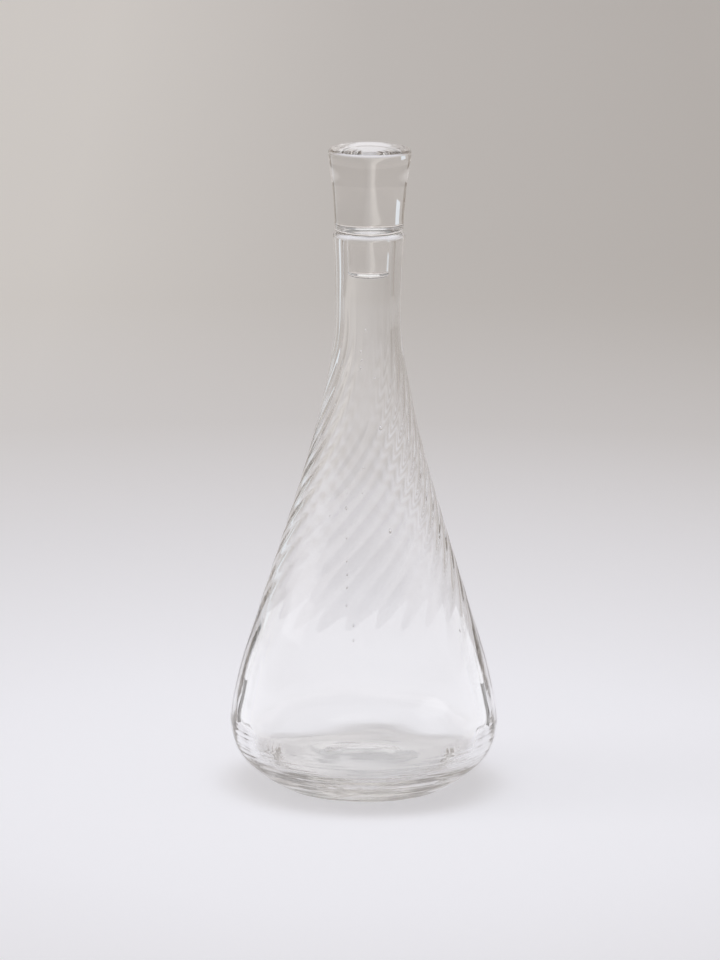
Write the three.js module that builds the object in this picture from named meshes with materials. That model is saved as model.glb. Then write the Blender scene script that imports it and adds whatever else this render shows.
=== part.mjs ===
// A clear glass decanter with a solid glass stopper. Millimetres, +Z up, the origin at the centre of the base.
import * as THREE from "three";

// Heights above the surface that the decanter stands on.
const RIM_Z = 260;
const TOTAL_HEIGHT = 299;
const FLOOR_Z = 12.5;

// The foot: a flat resting ring around a shallow polished hollow.
const FOOT_OUTER_RADIUS = 36;
const FOOT_INNER_RADIUS = 20;
const FOOT_HOLLOW_DEPTH = 1.6;

// The neck and its lip.
const MOUTH_RADIUS = 11.9;
const LIP_RADIUS = 16.6;
const LIP_ROUND = 2.2;
const LIP_INNER_ROUND = 1.2;

// Wall thickness, from the heavy lower corner to the thinner cone.
const NECK_WALL = 3.6;
const CONE_WALL = 3.2;
const CORNER_WALL = 5.7;

// The ribs: straight in the lower body, then twisting with a right-hand turn up the cone.
const RIB_COUNT = 24;
const RIB_DEPTH = 0.4;
const INNER_RIB_SHARE = 0.85;
const RIB_START_Z = [4, 26];
const RIB_END_Z = [165, 245];
const TWIST_TURN = 2.7;
const TWIST_Z = [59, 220];

// The stopper: a solid head that rests over the rim, and a loose peg that hangs in the neck.
const RIM_GAP = 0.3;
const HEAD_TOP_RADIUS = 19;
const HEAD_TOP_ROUND = 1.8;
const HEAD_FOOT_RADIUS = 15.8;
const HEAD_FOOT_ROUND = 1.9;
const HEAD_CROWN = 0.6;
const PEG_TOP_RADIUS = 10.2;
const PEG_TIP_RADIUS = 9.4;
const PEG_LENGTH = 20.4;
const PEG_TIP_ROUND = 1.6;

// Mesh density.
const COLUMNS_PER_RIB = 3;
const OUTER_ROWS = 33;
const INNER_ROWS = 24;
const STOPPER_COLUMNS = 48;
const ARC_STEPS = 3;

// A profile point: its radius, then its height.
const at = (radius, z) => new THREE.Vector2(radius, z);

// A smooth run of `rows` steps through hand-placed profile points.
function smoothRun(points, rows) {
  const knots = points.map((point) => new THREE.Vector3(point.x, point.y, 0));
  const curve = new THREE.CatmullRomCurve3(knots, false, "centripetal");
  return curve.getSpacedPoints(rows).map((point) => at(point.x, point.y));
}

// A quarter turn or less of a round edge, in degrees measured from the outward direction.
function roundEdge(centre, radius, fromDegrees, toDegrees) {
  const points = [];
  for (let step = 0; step <= ARC_STEPS; step += 1) {
    const angle = THREE.MathUtils.degToRad(fromDegrees + ((toDegrees - fromDegrees) * step) / ARC_STEPS);
    points.push(at(centre.x + radius * Math.cos(angle), centre.y + radius * Math.sin(angle)));
  }
  return points;
}

// Turns a profile, drawn from the axis up the outside and back to the axis, into a solid about +Z.
function turned(profile, columns) {
  return new THREE.LatheGeometry(profile, columns).rotateX(Math.PI / 2);
}

// The polished underside, from the axis out to the flat ring.
function footPoints() {
  return [
    at(0, FOOT_HOLLOW_DEPTH),
    at(FOOT_INNER_RADIUS * 0.55, FOOT_HOLLOW_DEPTH * 0.8),
    at(FOOT_INNER_RADIUS * 0.85, FOOT_HOLLOW_DEPTH * 0.35),
    at(FOOT_INNER_RADIUS, 0),
  ];
}

// The outside, from the foot over the wide shoulder near the bottom and up the cone to the lip.
function outerPoints() {
  return smoothRun(
    [
      at(FOOT_OUTER_RADIUS, 0),
      at(43.6, 3.2),
      at(50.3, 8),
      at(57.6, 15.2),
      at(61.2, 22.5),
      at(62, 29),
      at(61.3, 36),
      at(59.6, 46),
      at(56.2, 60),
      at(42.6, 104),
      at(35.1, 128),
      at(28, 152),
      at(22.2, 175),
      at(18, 196),
      at(15.6, 212),
      at(15.25, 228),
      at(15.75, 247),
      at(LIP_RADIUS, RIM_Z - LIP_ROUND),
    ],
    OUTER_ROWS,
  );
}

// The lip: a round outer edge, a flat top that carries the stopper, and a softened inner edge.
function lipPoints() {
  const outerCentre = at(LIP_RADIUS - LIP_ROUND, RIM_Z - LIP_ROUND);
  const innerCentre = at(MOUTH_RADIUS + LIP_INNER_ROUND, RIM_Z - LIP_INNER_ROUND);
  return [
    ...roundEdge(outerCentre, LIP_ROUND, 0, 90).slice(1),
    ...roundEdge(innerCentre, LIP_INNER_ROUND, 90, 180),
  ];
}

// The inside, from the mouth down the neck and cone to the rounded corner and the thick floor.
function innerPoints() {
  return smoothRun(
    [
      at(MOUTH_RADIUS, RIM_Z - LIP_INNER_ROUND),
      at(15.3 - NECK_WALL, 232),
      at(15.6 - NECK_WALL, 212),
      at(18.9 - NECK_WALL, 192),
      at(24.9 - CONE_WALL, 164),
      at(35.1 - CONE_WALL, 128),
      at(45.8 - CONE_WALL, 92),
      at(57.1 - CORNER_WALL, 60),
      at(60.5 - CORNER_WALL, 41),
      at(61.7 - CORNER_WALL, 30),
      at(53.6, FLOOR_Z + 8.2),
      at(49.2, FLOOR_Z + 3),
      at(43, FLOOR_Z + 0.6),
      at(34, FLOOR_Z),
      at(0, FLOOR_Z),
    ],
    INNER_ROWS,
  );
}

// How far the ribs have turned at a height.
function twistAt(z) {
  return TWIST_TURN * THREE.MathUtils.smoothstep(z, ...TWIST_Z);
}

// How strong the ribs are at a height: nothing at the foot and at the lip.
function ribStrengthAt(z) {
  const start = THREE.MathUtils.smoothstep(z, ...RIB_START_Z);
  return start * (1 - THREE.MathUtils.smoothstep(z, ...RIB_END_Z));
}

// Presses the ribs into a turned vessel: columns follow the twist, and the valleys between ribs sink.
function pressRibs(geometry, isInner) {
  const place = geometry.getAttribute("position");
  for (let index = 0; index < place.count; index += 1) {
    const radius = Math.hypot(place.getX(index), place.getY(index));
    const z = place.getZ(index);
    const angle = Math.atan2(place.getY(index), place.getX(index));
    const share = isInner(index) ? INNER_RIB_SHARE : 1;
    const sink = (1 - Math.cos(RIB_COUNT * (angle + Math.PI / 2))) / 2;
    const ribbed = radius - RIB_DEPTH * share * ribStrengthAt(z) * sink;
    const turnedAngle = angle + twistAt(z);
    place.setXYZ(index, ribbed * Math.cos(turnedAngle), ribbed * Math.sin(turnedAngle), z);
  }
  return geometry;
}

function decanterBody() {
  const outside = [...footPoints(), ...outerPoints(), ...lipPoints()];
  const inside = innerPoints().slice(1);
  const profile = [...outside, ...inside];
  const vessel = turned(profile, RIB_COUNT * COLUMNS_PER_RIB);
  return pressRibs(vessel, (index) => index % profile.length >= outside.length);
}

function stopper() {
  const underside = RIM_Z + RIM_GAP;
  const tip = underside - PEG_LENGTH;
  const tipCentre = at(PEG_TIP_RADIUS - PEG_TIP_ROUND, tip + PEG_TIP_ROUND);
  const footCentre = at(HEAD_FOOT_RADIUS - HEAD_FOOT_ROUND, underside + HEAD_FOOT_ROUND);
  const topCentre = at(HEAD_TOP_RADIUS - HEAD_TOP_ROUND, TOTAL_HEIGHT - HEAD_CROWN - HEAD_TOP_ROUND);
  const profile = [
    at(0, tip),
    at((PEG_TIP_RADIUS - PEG_TIP_ROUND) / 2, tip),
    ...roundEdge(tipCentre, PEG_TIP_ROUND, -90, 0),
    at(PEG_TOP_RADIUS, underside),
    ...roundEdge(footCentre, HEAD_FOOT_ROUND, -90, 0),
    at(16.05, 268),
    at(16.55, 275),
    at(17.4, 283.5),
    at(18.4, 290),
    ...roundEdge(topCentre, HEAD_TOP_ROUND, 0, 80),
    at(HEAD_TOP_RADIUS * 0.5, TOTAL_HEIGHT - HEAD_CROWN / 4),
    at(0, TOTAL_HEIGHT),
  ];
  return turned(profile, STOPPER_COLUMNS);
}

// Clear, colourless glass.
function clearGlass(opacity) {
  return new THREE.MeshStandardMaterial({
    color: 0xf2f4f3,
    roughness: 0.03,
    metalness: 0,
    transparent: true,
    opacity,
  });
}

function part(name, geometry, material) {
  const mesh = new THREE.Mesh(geometry, material);
  mesh.name = name;
  return mesh;
}

const decanter = new THREE.Group();
decanter.add(part("decanter_body", decanterBody(), clearGlass(0.3)));
decanter.add(part("stopper", stopper(), clearGlass(0.4)));

export default decanter;
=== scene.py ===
"""A clear glass wine decanter with twisted optic ribs and a solid glass stopper, on a pale studio sweep."""

import math
import random

import bpy
import numpy as np
from mathutils import Matrix, Vector


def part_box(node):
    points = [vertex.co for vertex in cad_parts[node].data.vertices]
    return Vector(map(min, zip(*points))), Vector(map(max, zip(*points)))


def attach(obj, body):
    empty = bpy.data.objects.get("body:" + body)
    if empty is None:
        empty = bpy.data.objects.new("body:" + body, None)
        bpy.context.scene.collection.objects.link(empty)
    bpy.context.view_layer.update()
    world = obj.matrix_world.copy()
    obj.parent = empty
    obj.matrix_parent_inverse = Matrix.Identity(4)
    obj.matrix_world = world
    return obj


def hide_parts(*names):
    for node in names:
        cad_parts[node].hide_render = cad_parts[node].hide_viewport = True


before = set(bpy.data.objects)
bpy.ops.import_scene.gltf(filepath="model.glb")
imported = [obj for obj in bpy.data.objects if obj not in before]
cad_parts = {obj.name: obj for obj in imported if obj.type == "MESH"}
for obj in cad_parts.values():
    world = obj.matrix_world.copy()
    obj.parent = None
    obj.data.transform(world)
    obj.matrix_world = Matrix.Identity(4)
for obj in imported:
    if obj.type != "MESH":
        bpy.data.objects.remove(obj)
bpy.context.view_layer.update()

MM = 0.001
AIR_GAP = 0.00015

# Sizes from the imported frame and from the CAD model, in millimetres.
RIM_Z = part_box("decanter_body")[1].z / MM
TOP_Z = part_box("stopper")[1].z / MM
TIP_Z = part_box("stopper")[0].z / MM
FLOOR_Z = 12.5
MOUTH_RADIUS = 11.9
LIP_RADIUS = 16.6
LIP_ROUND = 2.2
LIP_INNER_ROUND = 1.2
NECK_WALL = 3.6
NECK_FOOT_Z = 190
CONE_WALL = 3.2
CORNER_WALL = 5.7
RIM_GAP = 0.3
PEG_TIP_RADIUS = 9.4
PEG_TIP_ROUND = 1.6
HEAD_FOOT_RADIUS = 15.8
HEAD_FOOT_ROUND = 1.9
HEAD_TOP_RADIUS = 18.95
HEAD_TOP_ROUND = 1.8
HEAD_CROWN = 0.6

# Optic ribs: straight and faint in the bowl, then a right-hand turn up the cone.
RIB_COUNT = 24
RIB_DEPTH = 0.22
INNER_RIB_SHARE = 0.85
RIB_START_Z = (4, 26)
RIB_END_Z = (165, 245)
BOWL_RIB_SHARE = 0.42
RIB_UNEVENNESS = 0.14
FULL_RIB_Z = (72, 125)
TWIST_TURN = 2.7
TWIST_Z = (59, 220)

# Hand work: how far the walls wobble, as a share of their radius, and the heights over which that fades.
OUTER_WOBBLE = 0.006
INNER_WOBBLE = 0.010
HEAD_WOBBLE = 0.008
FOOT_TRUE_Z = (2, 20)
CORNER_TRUE_Z = (20, 60)
LIP_TRUE_Z = (235, RIM_Z - 4)
HEAD_FOOT_TRUE_Z = (262, 270)
HEAD_TOP_TRUE_Z = (292, TOP_Z - 3)

# The ripples of the floor inside: their size, and where they fade up the corner and towards the middle.
FLOOR_RIPPLE = 0.22
FLOOR_CALM_Z = (FLOOR_Z + 3, FLOOR_Z + 16)
FLOOR_CALM_RADIUS = (4, 20)

# Waves of the wobble: height, waves around, climb in radians per millimetre, and phase.
WALL_WAVES = [(1.0, 2, 0.031, 0.0), (0.7, 3, -0.047, 1.9), (0.5, 7, 0.11, 0.6), (0.4, 5, -0.17, 4.0)]

# Waves of the floor: height, radians per millimetre of radius, waves around, and phase.
FLOOR_WAVES = [(1.0, 0.16, 2, 0.0), (0.6, 0.31, -3, 1.0)]

# Seeds caught in the glass: degrees from the front towards +X, height and length in millimetres. Those
# round the back are drawn from ranges of the same three.
SEEDS = [
    (-4.5, 217, 0.8), (-12, 207, 0.9), (-10, 203, 0.8), (-11, 199.5, 1.0), (17, 172.5, 1.6),
    (-3.5, 155, 1.0), (-3.6, 144, 0.8), (19, 127, 1.7), (-14.5, 124, 1.0), (-13, 114, 1.0),
    (-12, 108, 0.9), (-11.5, 102.5, 1.0), (-11, 94.5, 0.8), (-6.3, 86, 1.0), (-6, 79.5, 0.9), (62, 78, 1.1),
]
BACK_SEEDS = 14
BACK_SEED_RANGES = [(80, 280), (60, 215), (0.6, 1.1)]
RANDOM_START = 7
SEEDS_ABOVE_Z = 40
SEED_STRETCH = 1.45
SEED_WIDTH_SHARE = 0.3
SEED_INSET = 0.3
SEED_LEAN = math.tan(math.radians(-18))

# Mesh density of the visible glass.
COLUMNS = RIB_COUNT * 16
STOPPER_COLUMNS = 192
STEP = 1.4
SEED_SIDES = 12
SEED_RINGS = 7

# The glass: a faint warm tint, and a surface that is never quite flat. Lengths here are in metres.
GLASS_IOR = 1.5
GLASS_TINT = (0.60, 0.54, 0.46, 1)
TINT_DENSITY = 1.7
BUMP_DISTANCE = 0.001
WAVE_STRENGTH = 0.06
HEEL_STRENGTH = 0.5
HEEL_STRETCH = (0.09, 0.09, 2.4)
HEEL_Z = (0.030, 0.012)
HAZE_ROUGHNESS = 0.008
HAZE_NOISE_RANGE = (0.35, 0.75)

# Scale and detail of each noise in the glass.
WAVE_NOISE = (70, 1.5)
HEEL_NOISE = (210, 1)
HAZE_NOISE = (35, 4)

# The sweep's colour by distance from the object, up to PAPER_REACH metres, with light and shade painted in:
# a painted shadow in a ring under the object's heel, and painted falloff to warm grey further out.
PAPER_REACH = 2.0
# Painted light: the paper glows with its own colour at this strength.
PAPER_GLOW = 0.6
PAINTED_LIGHT_BY_DISTANCE = [
    (0.0, (0.80, 0.80, 0.82)),
    (0.012, (0.79, 0.79, 0.81)),
    (0.021, (0.71, 0.70, 0.72)),
    (0.028, (0.72, 0.71, 0.73)),
    (0.036, (0.80, 0.80, 0.84)),
    (0.10, (0.77, 0.77, 0.81)),
    (0.25, (0.655, 0.645, 0.665)),
    (0.38, (0.56, 0.54, 0.535)),
    (0.55, (0.53, 0.505, 0.485)),
    (1.0, (0.55, 0.525, 0.505)),
]

# Painted light and shade up the wall: what the colour is multiplied by on the way up, up to PAPER_REACH
# metres, brighter through the middle of the wall and dark at its top.
PAINTED_LIGHT_BY_HEIGHT = [
    (0.0, (1, 1, 1)),
    (0.15, (1, 1, 1)),
    (0.36, (1.6, 1.64, 1.7)),
    (0.74, (1.6, 1.64, 1.7)),
    (0.80, (0.30, 0.27, 0.25)),
    (1.0, (0.25, 0.22, 0.2)),
]

# Painted shade from left to right: what it is multiplied by, over twice PAPER_SIDE metres, behind the
# object, lighter just left of the middle and darker to the right.
PAPER_SIDE = 0.6
PAPER_FAR = (0.45, 1.3)
PAINTED_SHADE_BY_SIDE = [
    (0.0, (0.86, 0.85, 0.84)),
    (0.14, (0.88, 0.87, 0.86)),
    (0.24, (1.10, 1.10, 1.09)),
    (0.34, (1.09, 1.09, 1.08)),
    (0.5, (0.91, 0.905, 0.90)),
    (0.7, (0.82, 0.81, 0.80)),
    (1.0, (0.84, 0.83, 0.82)),
]

# The sweep's shape in metres: a flat floor, a quarter round and a wall.
SWEEP_FLOOR = 3.6
SWEEP_ROUND = 1.0
SWEEP_TOP = 3.4
SWEEP_COLUMNS = 128

# The camera, fitted to the photo: metres, degrees and millimetres.
CAMERA_PLACE = Vector((-0.0029, -3.2614, 0.9045))
CAMERA_AIM = Vector((-0.0029, 0, 0.1434))
CAMERA_ROLL = 0.61
LENS = 273
SENSOR = 36

# Light runs along inside the walls, and ends black where a path is cut short.
GLASS_BOUNCES = 128
PAPER_BOUNCES = 4
BRIGHTEST_INDIRECT = 4


# ---------------------------------------------------------------- curves and meshes


def smoothstep(x, low, high):
    t = np.clip((x - low) / (high - low), 0, 1)
    return t * t * (3 - 2 * t)


def smooth_run(knots, step=STEP):
    """Points about `step` apart on a centripetal Catmull-Rom curve through the knots."""
    pts = [np.array(k, float) for k in knots]
    pts = [2 * pts[0] - pts[1]] + pts + [2 * pts[-1] - pts[-2]]
    run = []
    for p0, p1, p2, p3 in zip(pts, pts[1:], pts[2:], pts[3:]):
        t0 = 0.0
        t1 = t0 + math.sqrt(np.linalg.norm(p1 - p0))
        t2 = t1 + math.sqrt(np.linalg.norm(p2 - p1))
        t3 = t2 + math.sqrt(np.linalg.norm(p3 - p2))
        count = max(2, round(np.linalg.norm(p2 - p1) / step))
        for t in np.linspace(t1, t2, count, endpoint=False):
            a1 = ((t1 - t) * p0 + (t - t0) * p1) / (t1 - t0)
            a2 = ((t2 - t) * p1 + (t - t1) * p2) / (t2 - t1)
            a3 = ((t3 - t) * p2 + (t - t2) * p3) / (t3 - t2)
            b1 = ((t2 - t) * a1 + (t - t0) * a2) / (t2 - t0)
            b2 = ((t3 - t) * a2 + (t - t1) * a3) / (t3 - t1)
            run.append(((t2 - t) * b1 + (t - t1) * b2) / (t2 - t1))
    run.append(pts[-2])
    return [tuple(p) for p in run]


def round_edge(centre, radius, start, end, steps=8):
    """An arc of a profile, in degrees from the outward direction."""
    angles = np.radians(np.linspace(start, end, steps + 1))
    return [(centre[0] + radius * math.cos(a), centre[1] + radius * math.sin(a)) for a in angles]


def fan(tip, ring, columns):
    """Triangles between a point and the ring of points that starts at `ring`."""
    return [(tip, ring + (i + 1) % columns, ring + i) for i in range(columns)]


def bands(first, rings, columns):
    """Faces between each ring of points and the next, the first ring starting at `first`."""
    faces = []
    for low in range(first, first + (rings - 1) * columns, columns):
        high = low + columns
        for i in range(columns):
            j = (i + 1) % columns
            faces.append((low + i, low + j, high + j, high + i))
    return faces


def flipped(faces):
    """The same faces turned to the other side, each from the same first point."""
    return [(face[0], *face[:0:-1]) for face in faces]


def shell_faces(first, rings, columns):
    """Faces of a closed shell whose points are one on its own, then rings, then one on its own."""
    last_ring = first + 1 + (rings - 1) * columns
    end = flipped(fan(last_ring + columns, last_ring, columns))
    return fan(first, first + 1, columns) + bands(first + 1, rings, columns) + end


def revolved(profile, columns, shape):
    """The points and faces of a closed solid turned about +Z, from a profile with both ends on the axis.

    `shape(radius, z, angle, row)` returns the x, y and z of one ring, in millimetres.
    """
    angles = np.arange(columns) * 2 * math.pi / columns
    verts = [(0, 0, profile[0][1])]
    for row, (radius, z) in enumerate(profile[1:-1], 1):
        x, y, height = shape(np.full(columns, radius), np.full(columns, z), angles, row)
        verts.extend(zip(x, y, height))
    verts.append((0, 0, profile[-1][1]))
    return verts, shell_faces(0, len(profile) - 2, columns)


def mesh_object(name, verts, faces):
    mesh = bpy.data.meshes.new(name)
    mesh.from_pydata([(x * MM, y * MM, z * MM) for x, y, z in verts], [], faces)
    mesh.shade_smooth()
    piece = bpy.data.objects.new(name, mesh)
    bpy.context.scene.collection.objects.link(piece)
    return piece


# ---------------------------------------------------------------- hand work


def hand_wobble(angle, z):
    """How much the hand-made wall departs from a true turned surface, as a share from 0 to 1."""
    total = 0
    most = 0
    for high, around, climb, phase in WALL_WAVES:
        total = total + high * np.sin(around * angle + climb * z + phase)
        most += high
    return (total + most) / (2 * most)


def freedom(z, true_z):
    """How freely a wall may wobble at a height: from nothing, over the range `true_z`, up to the lip."""
    return smoothstep(z, *true_z) * (1 - smoothstep(z, *LIP_TRUE_Z))


def floor_ripple(radius, angle):
    """How far the uneven top of the thick floor rises or sinks, before FLOOR_RIPPLE scales it."""
    height = 0.2 * np.sin(0.9 * radius + 3 * np.sin(2 * angle))
    for high, pace, around, phase in FLOOR_WAVES:
        height = height + high * np.sin(pace * radius + around * angle + phase)
    return height


def rib_sink(angle, z):
    """How far a point sinks between two ribs, from 0 on a crest to 1 in a valley."""
    wave = (1 - np.cos(RIB_COUNT * (angle + math.pi / 2))) / 2
    strength = smoothstep(z, *RIB_START_Z) * (1 - smoothstep(z, *RIB_END_Z))
    strength = strength * (BOWL_RIB_SHARE + (1 - BOWL_RIB_SHARE) * smoothstep(z, *FULL_RIB_Z))
    uneven = np.sin(3 * angle + 1.1) * np.sin(5 * angle + 0.02 * z)
    return wave * strength * (1 - RIB_UNEVENNESS + RIB_UNEVENNESS * uneven)


def twist_at(z):
    return TWIST_TURN * smoothstep(z, *TWIST_Z)


# ---------------------------------------------------------------- the decanter


def outer_profile():
    foot = [(0, 1.6), (6, 1.5), (11, 1.25), (15, 0.85), (18, 0.4), (20.5, 0.04), (22, 0)]
    wall = smooth_run([
        (35.2, 0), (39.2, 0.7), (43.6, 3.2), (50.3, 8), (57.6, 15.2), (61.2, 22.5), (62, 29),
        (61.3, 36), (59.6, 46), (56.2, 60), (50, 80), (42.6, 104), (35.1, 128), (28, 152),
        (22.2, 175), (18, 196), (15.6, 212), (15.25, 228), (15.75, 247), (LIP_RADIUS, RIM_Z - LIP_ROUND),
    ])
    lip = round_edge((LIP_RADIUS - LIP_ROUND, RIM_Z - LIP_ROUND), LIP_ROUND, 0, 90)[1:]
    mouth_centre = (MOUTH_RADIUS + LIP_INNER_ROUND, RIM_Z - LIP_INNER_ROUND)
    return foot + wall + lip + round_edge(mouth_centre, LIP_INNER_ROUND, 90, 180)


def inner_profile():
    return smooth_run([
        (MOUTH_RADIUS, RIM_Z - LIP_INNER_ROUND), (15.3 - NECK_WALL, 232), (15.6 - NECK_WALL, 212),
        (18.9 - NECK_WALL, 192), (24.9 - CONE_WALL, 164), (35.1 - CONE_WALL, 128),
        (45.8 - CONE_WALL, 92), (57.1 - CORNER_WALL, 60), (60.5 - CORNER_WALL, 41),
        (61.7 - CORNER_WALL, 30), (53.6, FLOOR_Z + 8.2), (49.2, FLOOR_Z + 3.0), (43, FLOOR_Z + 0.6),
        (34, FLOOR_Z), (17, FLOOR_Z - 0.1), (0, FLOOR_Z),
    ])[1:]


def outer_wall(radius, z, angle):
    wobble = OUTER_WOBBLE * freedom(z, FOOT_TRUE_Z) * hand_wobble(angle, z)
    return radius * (1 - wobble) - RIB_DEPTH * rib_sink(angle, z), z


def inner_wall(radius, z, angle):
    wobble = INNER_WOBBLE * freedom(z, CORNER_TRUE_Z) * (hand_wobble(angle + 0.9, 1.3 * z) - 0.5)
    ribbed = radius * (1 - wobble) - INNER_RIB_SHARE * RIB_DEPTH * rib_sink(angle, z)
    floor = (1 - smoothstep(z, *FLOOR_CALM_Z)) * smoothstep(radius, *FLOOR_CALM_RADIUS)
    return ribbed, z + FLOOR_RIPPLE * floor * floor_ripple(radius, angle)


def decanter():
    outside = outer_profile()

    def shape(radius, z, angle, row):
        wall = outer_wall if row < len(outside) else inner_wall
        radius, height = wall(radius, z, angle)
        turned = angle + twist_at(z)
        return radius * np.cos(turned), radius * np.sin(turned), height

    verts, faces = revolved(outside + inner_profile(), COLUMNS, shape)
    add_seeds(verts, faces, outside)
    return mesh_object("vessel", verts, faces)


def seed_places():
    """The seeds seen from the front, then a few more round the back."""
    draw = random.Random(RANDOM_START)
    more = [tuple(draw.uniform(*span) for span in BACK_SEED_RANGES) for _ in range(BACK_SEEDS)]
    return SEEDS + more


def bubble(centre, up, out, length):
    """The points of a small long bubble, from its lower tip to its upper tip."""
    side = up.cross(out)
    width = SEED_WIDTH_SHARE * length
    points = [centre - up * length / 2]
    for ring in range(1, SEED_RINGS + 1):
        polar = math.pi * ring / (SEED_RINGS + 1)
        for k in range(SEED_SIDES):
            turn = 2 * math.pi * k / SEED_SIDES
            place = centre - up * (length / 2) * math.cos(polar)
            place += width * math.sin(polar) * (math.cos(turn) * side + math.sin(turn) * out)
            points.append(place)
    points.append(centre + up * length / 2)
    return [tuple(point) for point in points]


def add_seeds(verts, faces, outer):
    """Adds each seed as a bubble in the middle of the wall, its faces turned to the air inside."""
    wall = [(radius, z) for radius, z in outer if z > SEEDS_ABOVE_Z]
    radii, heights = zip(*wall)
    for degrees, height, length in seed_places():
        angle = math.radians(degrees - 90)
        depth = (CONE_WALL if height < NECK_FOOT_Z else NECK_WALL) / 2 + SEED_INSET
        out = Vector((math.cos(angle), math.sin(angle), 0))
        centre = (float(np.interp(height, heights, radii)) - depth) * out + Vector((0, 0, height))
        up = (Vector((0, 0, 1)) + SEED_LEAN * out).normalized()
        first = len(verts)
        verts.extend(bubble(centre, up, out, SEED_STRETCH * length))
        faces.extend(flipped(shell_faces(first, SEED_RINGS, SEED_SIDES)))


# ---------------------------------------------------------------- the stopper


def stopper_profile():
    underside = RIM_Z + RIM_GAP
    top_edge = TOP_Z - HEAD_CROWN
    profile = [(0, TIP_Z), (4, TIP_Z)]
    profile += round_edge((PEG_TIP_RADIUS - PEG_TIP_ROUND, TIP_Z + PEG_TIP_ROUND), PEG_TIP_ROUND, -90, 0)
    profile += [(9.6, 245), (9.8, 250), (10.0, 255), (10.2, underside - 0.5), (10.6, underside)]
    foot_centre = (HEAD_FOOT_RADIUS - HEAD_FOOT_ROUND, underside + HEAD_FOOT_ROUND)
    profile += round_edge(foot_centre, HEAD_FOOT_ROUND, -90, 0)
    profile += smooth_run([
        (15.85, 263), (16.05, 268), (16.55, 275), (17.35, 283), (18.4, 290), (HEAD_TOP_RADIUS, TOP_Z - 3.6),
    ])
    top_centre = (HEAD_TOP_RADIUS - HEAD_TOP_ROUND, top_edge - HEAD_TOP_ROUND)
    profile += round_edge(top_centre, HEAD_TOP_ROUND, 0, 86)[1:]
    profile += [(14, TOP_Z - 0.36), (10, TOP_Z - 0.18), (6, TOP_Z - 0.06), (3, TOP_Z - 0.02), (0, TOP_Z)]
    return profile


def stopper():
    def shape(radius, z, angle, row):
        head = smoothstep(z, *HEAD_FOOT_TRUE_Z) * (1 - smoothstep(z, *HEAD_TOP_TRUE_Z))
        uneven = radius * (1 - HEAD_WOBBLE * head * hand_wobble(angle + 2.0, 2.2 * z))
        return uneven * np.cos(angle), uneven * np.sin(angle), z

    return mesh_object("stopper_glass", *revolved(stopper_profile(), STOPPER_COLUMNS, shape))


# ---------------------------------------------------------------- shader nodes


def new_material(name):
    material = bpy.data.materials.new(name)
    material.use_nodes = True
    tree = material.node_tree
    return material, tree, tree.nodes["Principled BSDF"]


def object_place(tree):
    return tree.nodes.new("ShaderNodeTexCoord").outputs["Object"]


def noise(tree, place, scale, detail):
    node = tree.nodes.new("ShaderNodeTexNoise")
    node.inputs["Scale"].default_value = scale
    node.inputs["Detail"].default_value = detail
    tree.links.new(place, node.inputs["Vector"])
    return node.outputs["Fac"]


def map_range(tree, value, source, target=(0, 1), kind="LINEAR"):
    """Carries a value from the range `source` to the range `target`, and stops at its ends."""
    node = tree.nodes.new("ShaderNodeMapRange")
    node.interpolation_type = kind
    node.inputs["From Min"].default_value, node.inputs["From Max"].default_value = source
    node.inputs["To Min"].default_value, node.inputs["To Max"].default_value = target
    tree.links.new(value, node.inputs["Value"])
    return node.outputs["Result"]


def multiply(tree, first, second):
    """The product of two vectors: `first` is a socket, and `second` a socket or three numbers."""
    node = tree.nodes.new("ShaderNodeVectorMath")
    node.operation = "MULTIPLY"
    tree.links.new(first, node.inputs[0])
    if isinstance(second, tuple):
        node.inputs[1].default_value = second
    else:
        tree.links.new(second, node.inputs[1])
    return node.outputs["Vector"]


def bump(tree, height):
    node = tree.nodes.new("ShaderNodeBump")
    node.inputs["Distance"].default_value = BUMP_DISTANCE
    tree.links.new(height, node.inputs["Height"])
    return node


def colour_ramp(tree, value, stops):
    """Colours at stops along a value from 0 to 1."""
    node = tree.nodes.new("ShaderNodeValToRGB")
    elements = node.color_ramp.elements
    while len(elements) < len(stops):
        elements.new(0.5)
    for element, (position, colour) in zip(elements, stops):
        element.position = position
        element.color = (*colour, 1)
    tree.links.new(value, node.inputs["Fac"])
    return node.outputs["Color"]


# ---------------------------------------------------------------- materials


def worked_surface(tree, place):
    """The normal of hand-worked glass: slow waves, and fine level ripples round the heavy heel."""
    waves = bump(tree, noise(tree, place, *WAVE_NOISE))
    waves.inputs["Strength"].default_value = WAVE_STRENGTH
    ripple = bump(tree, noise(tree, multiply(tree, place, HEEL_STRETCH), *HEEL_NOISE))
    split = tree.nodes.new("ShaderNodeSeparateXYZ")
    tree.links.new(place, split.inputs["Vector"])
    near_heel = map_range(tree, split.outputs["Z"], HEEL_Z, (0, HEEL_STRENGTH))
    tree.links.new(near_heel, ripple.inputs["Strength"])
    tree.links.new(waves.outputs["Normal"], ripple.inputs["Normal"])
    return ripple.outputs["Normal"]


def glass(name):
    """Clear glass with a hand-worked surface, a faint haze of handling and a faint tint."""
    material, tree, shader = new_material(name)
    shader.inputs["Base Color"].default_value = (1, 1, 1, 1)
    shader.inputs["IOR"].default_value = GLASS_IOR
    shader.inputs["Transmission Weight"].default_value = 1.0
    place = object_place(tree)
    tree.links.new(worked_surface(tree, place), shader.inputs["Normal"])
    haze = map_range(tree, noise(tree, place, *HAZE_NOISE), HAZE_NOISE_RANGE, (0, HAZE_ROUGHNESS))
    tree.links.new(haze, shader.inputs["Roughness"])
    tint = tree.nodes.new("ShaderNodeVolumeAbsorption")
    tint.inputs["Color"].default_value = GLASS_TINT
    tint.inputs["Density"].default_value = TINT_DENSITY
    tree.links.new(tint.outputs["Volume"], tree.nodes["Material Output"].inputs["Volume"])
    return material


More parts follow.
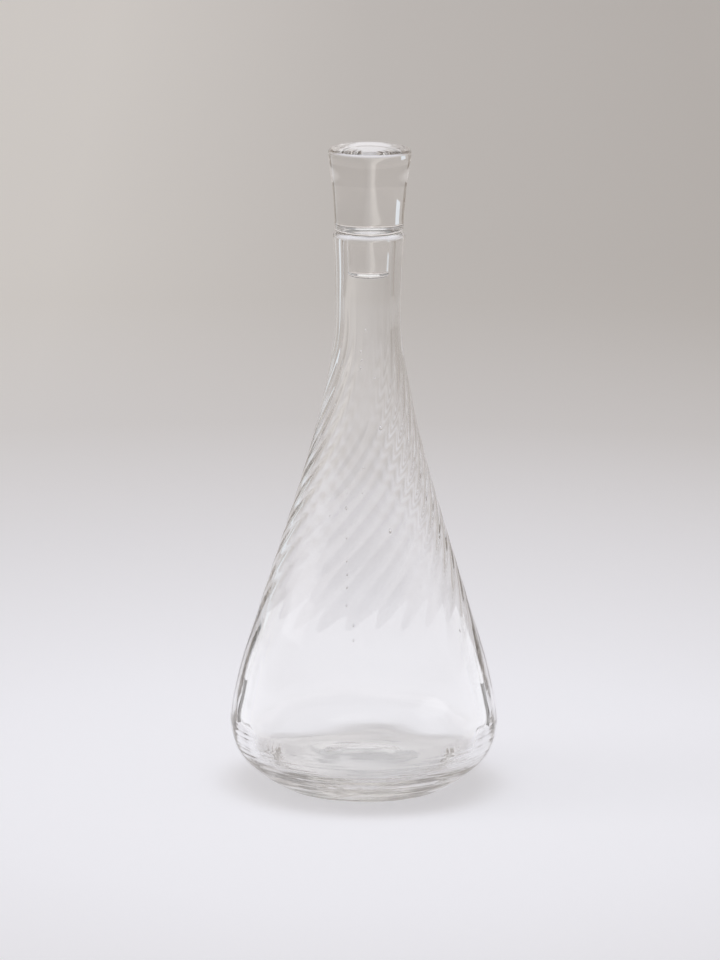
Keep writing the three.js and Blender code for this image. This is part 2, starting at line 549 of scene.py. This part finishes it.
def side_shade(tree, sideways, distance):
    """The painted left-to-right shade of the wall, which fades out towards the object."""
    side = map_range(tree, sideways, (-PAPER_SIDE, PAPER_SIDE))
    fade = tree.nodes.new("ShaderNodeMix")
    fade.data_type = "RGBA"
    fade.inputs["A"].default_value = (1, 1, 1, 1)
    tree.links.new(colour_ramp(tree, side, PAINTED_SHADE_BY_SIDE), fade.inputs["B"])
    tree.links.new(map_range(tree, distance, PAPER_FAR, kind="SMOOTHSTEP"), fade.inputs["Factor"])
    return fade.outputs["Result"]


def paper(name):
    """The sweep, its light and shade painted on: white round the object, warm grey further out, brighter on
    the wall and dark at its top.
    """
    material, tree, shader = new_material(name)
    shader.inputs["Roughness"].default_value = 1.0
    shader.inputs["Specular IOR Level"].default_value = 0.0
    # Painted light: the paper glows with its own colour, which keeps its shadows pale.
    shader.inputs["Emission Strength"].default_value = PAPER_GLOW
    place = object_place(tree)
    split = tree.nodes.new("ShaderNodeSeparateXYZ")
    tree.links.new(place, split.inputs["Vector"])
    length = tree.nodes.new("ShaderNodeVectorMath")
    length.operation = "LENGTH"
    tree.links.new(multiply(tree, place, (1, 1, 0)), length.inputs[0])
    distance = length.outputs["Value"]
    # Painted light and shade: falloff and a shadow by distance, times a bright band and dark top up the
    # wall, times the side shade.
    across = colour_ramp(tree, map_range(tree, distance, (0, PAPER_REACH)), PAINTED_LIGHT_BY_DISTANCE)
    rise = colour_ramp(tree, map_range(tree, split.outputs["Z"], (0, PAPER_REACH)), PAINTED_LIGHT_BY_HEIGHT)
    colour = multiply(tree, multiply(tree, across, rise), side_shade(tree, split.outputs["X"], distance))
    tree.links.new(colour, shader.inputs["Base Color"])
    tree.links.new(colour, shader.inputs["Emission Color"])
    return material


# ---------------------------------------------------------------- stage, lights and camera


def stage():
    """A round floor that curves up into a wall, with the object a hair above its centre."""
    profile = [(radius, 0) for radius in (0.5, 1, 2, SWEEP_FLOOR)]
    profile += round_edge((SWEEP_FLOOR, SWEEP_ROUND), SWEEP_ROUND, -90, 0, 15)[1:]
    profile += [(SWEEP_FLOOR + SWEEP_ROUND, z) for z in (1.2, 1.45, 1.55, SWEEP_TOP)]
    verts = [(0, 0, 0)]
    for radius, z in profile:
        for turn in np.arange(SWEEP_COLUMNS) * 2 * math.pi / SWEEP_COLUMNS:
            verts.append((radius * math.cos(turn) / MM, radius * math.sin(turn) / MM, z / MM))
    faces = flipped(fan(0, 1, SWEEP_COLUMNS) + bands(1, len(profile), SWEEP_COLUMNS))
    sweep = mesh_object("sweep", verts, faces)
    sweep.location.z = -AIR_GAP
    sweep.data.materials.append(paper("paper"))


def card(name, angles, low, high, colour, strength, rays):
    """A glowing card round the object, in metres, seen only by some rays.

    `low` and `high` give the radius and height of its long edges at an angle from the front, in degrees.
    """
    verts = []
    for edge in (low, high):
        for degrees in angles:
            radius, z = edge(degrees)
            turn = math.radians(degrees - 90)
            verts.append((radius * math.cos(turn) / MM, radius * math.sin(turn) / MM, z / MM))
    n = len(angles)
    faces = [(i, i + 1, n + i + 1, n + i) for i in range(n - 1)]
    sheet = mesh_object(name, verts, faces)
    material, _, shader = new_material(name + "_glow")
    shader.inputs["Base Color"].default_value = (0, 0, 0, 1)
    shader.inputs["Emission Color"].default_value = (*colour, 1)
    shader.inputs["Emission Strength"].default_value = strength
    sheet.data.materials.append(material)
    for ray in ("camera", "diffuse", "glossy", "transmission", "volume_scatter", "shadow"):
        setattr(sheet, f"visible_{ray}", ray in rays)


def front_card():
    """A bright card round the front, lower towards its ends, which the lower body reflects."""
    radius = 0.24

    def top(degrees):
        return radius, 0.157 - 0.052 * (degrees / 104) ** 2

    card("front_card", np.linspace(-125, 125, 101), low=lambda degrees: (radius, 0), high=top,
         colour=(0.97, 0.98, 1), strength=1.7, rays=("glossy",))


def window_patch():
    """A patch of window light on the left."""
    card("window_patch", np.linspace(-143, -132, 9), low=lambda degrees: (0.85, 0.004),
         high=lambda degrees: (1.45, 0.17), colour=(0.9, 0.95, 1), strength=0.85,
         rays=("glossy", "transmission"))


def flag(name, side):
    """A dim slanting card far out at one side, which draws brown lines at the edges of the glass."""
    card(name, side * np.linspace(101, 120, 14), low=lambda degrees: (1.18, 0.004),
         high=lambda degrees: (2.2, 0.36), colour=(0.24, 0.20, 0.165), strength=1.0,
         rays=("glossy", "transmission"))


def edge_strip(name, side):
    """A small flat dark card close behind one side, which draws the dark line inside the lower wall."""
    behind = 0.045

    def edge(height):
        return lambda degrees: (behind / abs(math.cos(math.radians(degrees))), height)

    card(name, side * np.linspace(112, 119, 5), low=edge(0.002), high=edge(0.034),
         colour=(0.035, 0.02, 0.01), strength=1.0, rays=("transmission",))


def cards():
    """The cards that draw the edges of the glass, each seen only in it or through it."""
    front_card()
    window_patch()
    for name, side in (("left_flag", -1), ("right_flag", 1)):
        flag(name, side)
        edge_strip(name + "_strip", side)


def area_light(name, place, aim, size, power, colour):
    light = bpy.data.lights.new(name, "AREA")
    light.shape = "RECTANGLE"
    light.size, light.size_y = size
    light.energy = power
    light.color = colour
    lamp = bpy.data.objects.new(name, light)
    lamp.location = place
    lamp.rotation_euler = (Vector(aim) - Vector(place)).to_track_quat("-Z", "Y").to_euler()
    bpy.context.scene.collection.objects.link(lamp)
    return lamp


def lights():
    """A broad lamp overhead, a window on the left that the glass doesn't reflect, and a dim room."""
    area_light("overhead", place=(-0.2, -0.1, 3.0), aim=(-0.2, -0.1, 0), size=(2.6, 1.3),
               power=9.6, colour=(1.0, 0.99, 0.98))
    window = area_light("left_window", place=(-2.6, -0.3, 1.5), aim=(0, 0, 0.1), size=(1.6, 2.4),
                        power=9, colour=(0.96, 0.98, 1.0))
    window.visible_glossy = False
    world = bpy.data.worlds.new("studio")
    world.use_nodes = True
    world.node_tree.nodes["Background"].inputs["Color"].default_value = (0.98, 0.98, 1.0, 1)
    world.node_tree.nodes["Background"].inputs["Strength"].default_value = 0.36
    bpy.context.scene.world = world


def camera():
    lens = bpy.data.cameras.new("camera")
    lens.sensor_fit = "VERTICAL"
    lens.sensor_height = SENSOR
    lens.lens = LENS
    eye = bpy.data.objects.new("camera", lens)
    eye.location = CAMERA_PLACE
    level = (CAMERA_AIM - CAMERA_PLACE).to_track_quat("-Z", "Y").to_matrix().to_4x4()
    roll = Matrix.Rotation(math.radians(CAMERA_ROLL), 4, "Z")
    eye.rotation_euler = (level @ roll).to_euler()
    bpy.context.scene.collection.objects.link(eye)
    bpy.context.scene.camera = eye


def look():
    scene = bpy.context.scene
    scene.view_settings.view_transform = "Standard"
    scene.cycles.max_bounces = GLASS_BOUNCES
    scene.cycles.transmission_bounces = GLASS_BOUNCES
    scene.cycles.glossy_bounces = GLASS_BOUNCES
    scene.cycles.diffuse_bounces = PAPER_BOUNCES
    scene.cycles.sample_clamp_indirect = BRIGHTEST_INDIRECT
    scene.cycles.caustics_refractive = True
    scene.cycles.caustics_reflective = True
    scene.cycles.use_denoising = True


camera()
stage()
cards()
lights()
look()

vessel = decanter()
vessel.data.materials.append(glass("decanter_clear_glass"))
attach(vessel, "decanter")
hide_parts("decanter_body")

plug = stopper()
plug.data.materials.append(glass("stopper_clear_glass"))
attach(plug, "stopper")
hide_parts("stopper")
